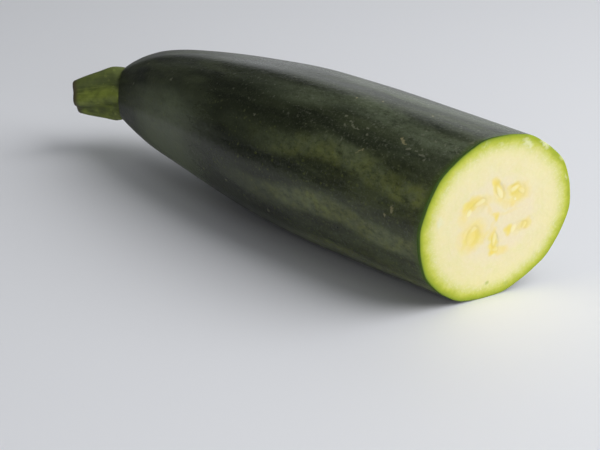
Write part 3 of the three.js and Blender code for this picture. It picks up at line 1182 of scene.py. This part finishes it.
# %% Make the stem material
STEM_GROOVE_SHADE = (0.070, 0.092, 0.014)
STEM_GREEN = (0.195, 0.240, 0.036)
STEM_THREAD = (0.255, 0.300, 0.070)
STEM_TOP_SHADE = (0.072, 0.090, 0.030)
STEM_BROWN = (0.075, 0.062, 0.028)
STEM_CLOUD_SCALE = 320.0
STEM_THREAD_SCALE = 12.0
STEM_DOT_SCALE = 700.0
STEM_SHADED_TOP = (0.35, 0.9)
STEM_DRY_FROM = (0.94, 1.03)
STEM_ROUGHNESS = 0.45
STEM_BUMP = 0.3
STEM_BUMP_DEPTH = 0.0005

stalk, tree, shader = new_material("courgette_stem")
spot = object_place(tree)
fibre_spot = attribute(tree, "grain")["Vector"]
threads = noise_value(tree, fibre_spot, STEM_THREAD_SCALE, detail=4.0)
clouds = noise_value(tree, spot, STEM_CLOUD_SCALE)
ridge = scaled(tree, attribute(tree, "ridge")["Fac"], 0.5)
lit = math_node(tree, "ADD", ridge, scaled(tree, clouds, 4.0, -2.0))
upwards = add(tree, "ShaderNodeSeparateXYZ", {"Vector": fibre_spot}).outputs["X"]
dots = specks(tree, spot, STEM_DOT_SCALE, 0.4, 0.4)
dry = math_node(tree, "ADD", attribute(tree, "share")["Fac"], scaled(tree, clouds, 0.06))
# Painted shade in the grooves between the ridges, mixed with a mottle of real colour.
colour = blend(tree, fade(tree, lit, -1.0, 0.9), STEM_GROOVE_SHADE, STEM_GREEN)
for mask, pigment, strength in (
    (fade(tree, threads, 0.45, 0.8), STEM_THREAD, 0.6),
    # Painted shade: the upper side of the stalk is darkened where less light falls on it.
    (fade(tree, upwards, *STEM_SHADED_TOP), STEM_TOP_SHADE, 0.65),
    (dots, STEM_THREAD, 0.5),
    (fade(tree, dry, *STEM_DRY_FROM), STEM_BROWN, 1.0),
):
    colour = painted(tree, colour, mask, pigment, strength)
dress(tree, shader, colour, scaled(tree, clouds, 0.3, STEM_ROUGHNESS))
emboss(tree, shader, threads, STEM_BUMP, STEM_BUMP_DEPTH)
print("stem material has", len(tree.nodes), "nodes")

# %% [markdown]
# The cut end of the stalk is pale pith with coarse fibres, dry and dull. It is a second material on the same
# object, on the faces that were marked when the stem was spun.

# %% Make the pith and finish the stem
PITH = (0.340, 0.330, 0.160)
PITH_CELL_SCALE = 900.0
PITH_DOT_SCALE = 420.0
PITH_ROUGHNESS = 0.55
PITH_BUMP = 0.5
PITH_BUMP_DEPTH = 0.0005

pith, tree, shader = new_material("courgette_stem_end")
spot = object_place(tree)
cells = noise_value(tree, spot, PITH_CELL_SCALE)
dots = specks(tree, spot, PITH_DOT_SCALE, 0.5, 0.6)
colour = blend(tree, fade(tree, cells, 0.3, 0.7), STEM_BROWN, PITH)
colour = blend(tree, dots, colour, STEM_THREAD)
dress(tree, shader, colour, scaled(tree, cells, 0.3, PITH_ROUGHNESS))
emboss(tree, shader, cells, PITH_BUMP, PITH_BUMP_DEPTH)

stem = finish_piece(stem_mesh, "courgette_stem", [stalk, pith])
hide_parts("stem")

# %% [markdown]
# ## Floor
#
# The courgette lies on a plain pale table top. A wide disc fills the picture from every side, and a dull finish
# keeps it from mirroring the fruit.

# %% Lay the floor
FLOOR_RADIUS = 5.0
FLOOR_SEGMENTS = 128
FLOOR_PALE = (0.790, 0.797, 0.828)
FLOOR_ROUGHNESS = 0.6

floor_mesh = bmesh.new()
bmesh.ops.create_circle(floor_mesh, cap_ends=True, segments=FLOOR_SEGMENTS, radius=FLOOR_RADIUS)
floor_data = bpy.data.meshes.new("floor")
floor_mesh.to_mesh(floor_data)
floor_mesh.free()
floor = bpy.data.objects.new("floor", floor_data)
scene.collection.objects.link(floor)
floor_material, _, shader = new_material("pale_floor")
shader.inputs["Base Color"].default_value = (*FLOOR_PALE, 1.0)
shader.inputs["Roughness"].default_value = FLOOR_ROUGHNESS
floor_data.materials.append(floor_material)
print("floor radius", FLOOR_RADIUS, "m")

# %% [markdown]
# ## Light
#
# Two soft lamps light the scene: a large one above, behind the fruit, and a small one that the cut face looks at.
# The large one is left out of reflections, because on dark waxy skin it would look like metal.

# %% Hang the lamps
KEY_LAMP = ("key_lamp", Vector((0.50, 0.35, 0.60)), 0.9, 6.65, False)
FACE_LAMP = ("face_lamp", Vector((0.75, -0.34, 0.22)), 0.4, 1.40, True)

for name, spot, size, power, mirrored in (KEY_LAMP, FACE_LAMP):
    lamp = bpy.data.objects.new(name, bpy.data.lights.new(name, "AREA"))
    scene.collection.objects.link(lamp)
    lamp.data.shape = "DISK"
    lamp.data.size = size
    lamp.data.energy = power
    lamp.location = spot
    lamp.rotation_euler = spot.to_track_quat("Z", "Y").to_euler()
    lamp.visible_camera = False
    lamp.visible_glossy = mirrored
    print(name, "at", tuple(round(x, 2) for x in spot), "of", power, "W")

# %% [markdown]
# What the skin mirrors is the surround: a bright backdrop on the far side, which draws the pale edge along the top
# of the fruit, a patch overhead, and a dim room elsewhere, which leaves the near side dark. The camera itself sees
# a plain grey beyond the floor, so that no bright or dark band crosses the picture in other views.

# %% Make the surround
BACKDROP_LEVEL = 0.64
BACKDROP_FROM = (0.21, 0.52)
BACKDROP_TOP = (0.85, 0.65)
OVERHEAD_LEVEL = 0.5
OVERHEAD_FROM = (0.84, 0.95)
ROOM_LEVEL = 0.07
HORIZON_LEVEL = 0.2
SURROUND_TINT = (0.94, 0.97, 1.0, 1.0)

world = bpy.data.worlds.new("surround")
world.use_nodes = True
scene.world = world
sky = world.node_tree
background = sky.nodes["Background"]
direction = add(sky, "ShaderNodeTexCoord").outputs["Generated"]
towards = add(sky, "ShaderNodeSeparateXYZ", {"Vector": direction}).outputs
wide = fade(sky, towards["Y"], *BACKDROP_FROM)
tall = fade(sky, towards["Z"], *BACKDROP_TOP)
backdrop = scaled(sky, product(sky, wide, tall), BACKDROP_LEVEL, ROOM_LEVEL)
overhead = fade(sky, towards["Z"], *OVERHEAD_FROM)
level = math_node(sky, "ADD", backdrop, scaled(sky, overhead, OVERHEAD_LEVEL))
seen = add(sky, "ShaderNodeLightPath").outputs["Is Camera Ray"]
strength = add(sky, "ShaderNodeMix", {0: seen, 2: level, 3: HORIZON_LEVEL})
background.inputs["Color"].default_value = SURROUND_TINT
sky.links.new(strength.outputs[0], background.inputs["Strength"])
scene.view_settings.view_transform = "Standard"
print("surround has", len(sky.nodes), "nodes")
